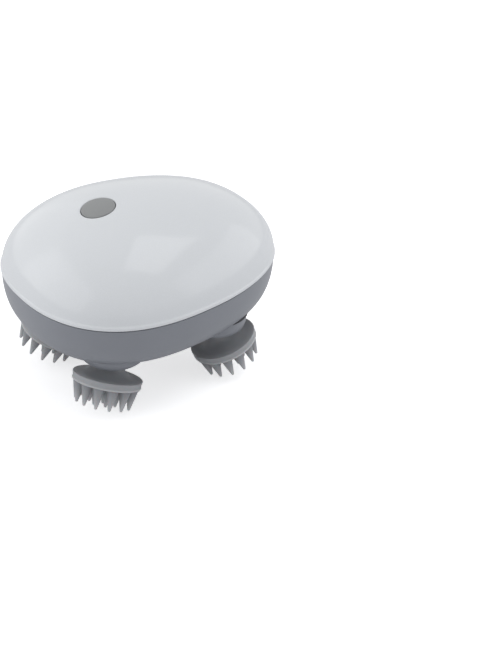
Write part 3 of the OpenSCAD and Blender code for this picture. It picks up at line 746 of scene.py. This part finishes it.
def finger_profile():
    """Radius and height of a finger: a small fillet at its root, a fat cone, and a round tip."""
    fillet, root_h = 0.55 * MM, 0.55 * MM
    slope = math.radians(15)
    profile = [(FINGER_R * 0.9, -0.5 * MM), (FINGER_R + fillet, -0.02 * MM),
               (FINGER_R + 0.25 * fillet, 0.16 * MM), (FINGER_R, root_h)]
    waist = (FINGER_R * 0.8, FINGER_L * 0.3)
    tip = (TIP_R * math.cos(slope), FINGER_L - TIP_R + TIP_R * math.sin(slope))
    profile += steps_between((FINGER_R, root_h), waist, 3)
    profile += steps_between(waist, tip, 6)
    profile += arc(0, FINGER_L - TIP_R, TIP_R, 30, 84, 4)
    return profile


def body_profile():
    """Radius and height of a head: its neck flaring out to the disc, and the disc's thick edge."""
    flare_w, flare_h = DISC_R - 0.5 * MM - NECK_R, DISC_TOP - FLARE_START
    top_r, low_r = 0.45 * MM, 0.3 * MM
    profile = []
    for k in range(25):
        a = math.radians(90 * k / 24)
        profile.append((NECK_R + flare_w * (1 - math.cos(a)), FLARE_START + flare_h * math.sin(a)))
    profile += arc(DISC_R - top_r, DISC_TOP + top_r, top_r, -75, 0, 5)
    profile += [(DISC_R - 0.2 * MM, DISC_TOP + 1.2 * MM), (DISC_R - 0.45 * MM, DISC_LOW - 1.1 * MM)]
    profile += arc(DISC_R - 0.45 * MM, DISC_LOW - 0.45 * MM, low_r, -60, 90, 6)
    profile += [(DISC_R - 0.9 * MM, DISC_LOW), (DISC_R * 0.7, DISC_LOW), (0.3 * MM, DISC_LOW)]
    return profile


def thinness(r, h):
    """How thin the head's body is at a point of its profile, from 0 to 1."""
    if r > DISC_R - 0.6 * MM and h > DISC_LOW - 1.0 * MM:
        return 0.75
    if h < DISC_LOW - 0.1 * MM:
        return 0.3 * max(0, (r - 0.8 * DISC_R) / (0.2 * DISC_R))
    return 0.0


def brush(side):
    """A head's body and its fingers, each a closed surface of its own in one mesh."""
    pivot, spin = head_frame(side)
    down = (spin @ Vector((0, 0, 1))).z
    verts, faces, thin = [], [], []

    def at(x, y, w):
        return pivot + spin @ Vector((x, y, w))

    def island(rows, thins):
        start, n = len(verts), len(rows[0])
        for row, value in zip(rows, thins):
            verts.extend(row)
            thin.extend([value] * n)
        for face in tube_faces(len(rows), n, False) + cap_faces(len(rows), n):
            faces.append(tuple(start + i for i in face))

    def turned(profile, steps, cx, cy, w):
        return lathe(profile, steps, lambda r, a, h: at(cx + r * math.cos(a), cy + r * math.sin(a), w + h))

    foot = []
    for a in circle(HEAD_COLUMNS):
        x, y = NECK_R * math.cos(a), NECK_R * math.sin(a)
        foot.append(at(x, y, (BOWL_FLOOR_Z - at(x, y, 0).z) / down))
    profile = body_profile()
    island(
        [foot] + turned(profile, HEAD_COLUMNS, 0, 0, 0), [0] + [thinness(r, h) for r, h in profile]
    )
    shape = finger_profile()
    for ring, count, first in RINGS:
        for k in range(count):
            turn = math.radians(360 * k / count + first)
            island(
                turned(shape, FINGER_COLUMNS, ring * math.cos(turn), ring * math.sin(turn), DISC_LOW),
                [max(0.0, h / FINGER_L) ** 1.5 for r, h in shape],
            )
    obj = new_object("brush_head_" + side, verts, faces)
    layer = obj.data.attributes.new("thin", "FLOAT", "POINT")
    layer.data.foreach_set("value", thin)
    return obj


for name in SIDES:
    finish_piece(drum(name), "slate_shell", "head_" + name, "drum_" + name)
    finish_piece(brush(name), "silicone", "head_" + name, "brush_" + name)

# ---------- floor, light and camera ----------


def mixed(tree, factor, first, second):
    """A mix of two shaders by a factor."""
    pick = add(tree, "ShaderNodeMixShader", [(0, factor)])
    tree.links.new(first.outputs[0], pick.inputs[1])
    tree.links.new(second.outputs[0], pick.inputs[2])
    return pick


def floor():
    """A pale floor that the camera sees a little brighter, so that only the shadow shows on it."""
    half, glow_strength = 4.0, 0.6
    corners = [(-half, -half, 0), (half, -half, 0), (half, half, 0), (-half, half, 0)]
    obj = new_object("floor", corners, [(0, 1, 2, 3)])
    mat = bpy.data.materials.new("pale_floor")
    mat.use_nodes = True
    tree = mat.node_tree
    tree.nodes.clear()
    seen = add(tree, "ShaderNodeLightPath").outputs["Is Camera Ray"]
    matt = add(tree, "ShaderNodeBsdfDiffuse", [("Color", (0.86, 0.86, 0.87, 1))])
    glow = add(tree, "ShaderNodeEmission", [("Color", (1, 1, 1, 1)), ("Strength", glow_strength)])
    both = add(tree, "ShaderNodeAddShader")
    tree.links.new(matt.outputs[0], both.inputs[0])
    tree.links.new(glow.outputs[0], both.inputs[1])
    pick = mixed(tree, seen, matt, both)
    out = add(tree, "ShaderNodeOutputMaterial")
    tree.links.new(pick.outputs[0], out.inputs["Surface"])
    obj.data.materials.append(mat)


def world():
    """Plain studio light, and white for rays that come from the camera, glass or gloss."""
    item = bpy.data.worlds.new("studio")
    bpy.context.scene.world = item
    item.use_nodes = True
    tree = item.node_tree
    tree.nodes.clear()
    path = add(tree, "ShaderNodeLightPath")
    seen = path.outputs["Is Camera Ray"]
    for ray in ("Is Transmission Ray", "Is Glossy Ray"):
        seen = add(
            tree, "ShaderNodeMath", [(0, seen), (1, path.outputs[ray])], operation="MAXIMUM"
        ).outputs[0]
    plain = add(tree, "ShaderNodeBackground", [("Color", (0.95, 0.97, 1, 1)), ("Strength", 0.55)])
    white = add(tree, "ShaderNodeBackground", [("Color", (1, 1, 1, 1)), ("Strength", 1.0)])
    pick = mixed(tree, seen, plain, white)
    out = add(tree, "ShaderNodeOutputWorld")
    tree.links.new(pick.outputs[0], out.inputs["Surface"])


def softbox(name, at, aim_z, size, power):
    """A white area lamp aimed at a height on the case's axis."""
    lamp = bpy.data.lights.new(name, "AREA")
    lamp.shape, lamp.size, lamp.size_y = "RECTANGLE", size[0], size[1]
    lamp.energy = power
    obj = bpy.data.objects.new(name, lamp)
    obj.location = at
    obj.rotation_mode = "QUATERNION"
    obj.rotation_quaternion = (Vector((0, 0, aim_z)) - Vector(at)).to_track_quat("-Z", "Y")
    bpy.context.scene.collection.objects.link(obj)


def camera():
    """The photograph's view of the object. The picture is 480 by 655 pixels."""
    picture_h, sensor = 655, 36
    focal_px, distance = 1300, 578.7 * MM
    rise, swing, roll = math.radians(31.09), math.radians(36.59), math.radians(-3.18)
    off_x, off_y = -42.0 * MM, 29.2 * MM
    ahead = Vector((
        math.sin(swing) * math.cos(rise), math.cos(swing) * math.cos(rise), -math.sin(rise)
    ))
    level = Vector((math.cos(swing), -math.sin(swing), 0))
    plumb = level.cross(ahead)
    right = level * math.cos(roll) - plumb * math.sin(roll)
    up = level * math.sin(roll) + plumb * math.cos(roll)
    data = bpy.data.cameras.new("camera")
    data.sensor_width = sensor
    data.lens = focal_px / picture_h * sensor
    data.clip_start, data.clip_end = 0.01, 20
    obj = bpy.data.objects.new("camera", data)
    turn = Matrix((right, up, -ahead)).transposed().to_4x4()
    turn.translation = Vector((0, 0, SEAM_Z)) - distance * ahead - off_x * right - off_y * up
    obj.matrix_world = turn
    bpy.context.scene.collection.objects.link(obj)
    bpy.context.scene.camera = obj


floor()
world()
softbox("left", (-0.8, 0.25, 0.45), 0.06, (1.3, 0.8), 2.9)
softbox("top", (0.27, -0.2, 0.92), 0.06, (0.6, 0.6), 2.0)
softbox("right", (0.85, -0.42, 0.35), 0.05, (1.1, 0.6), 1.6)
softbox("back", (-0.38, 0.81, 0.38), 0.06, (1.2, 0.7), 0.8)
camera()
bpy.context.scene.view_settings.view_transform = "Standard"
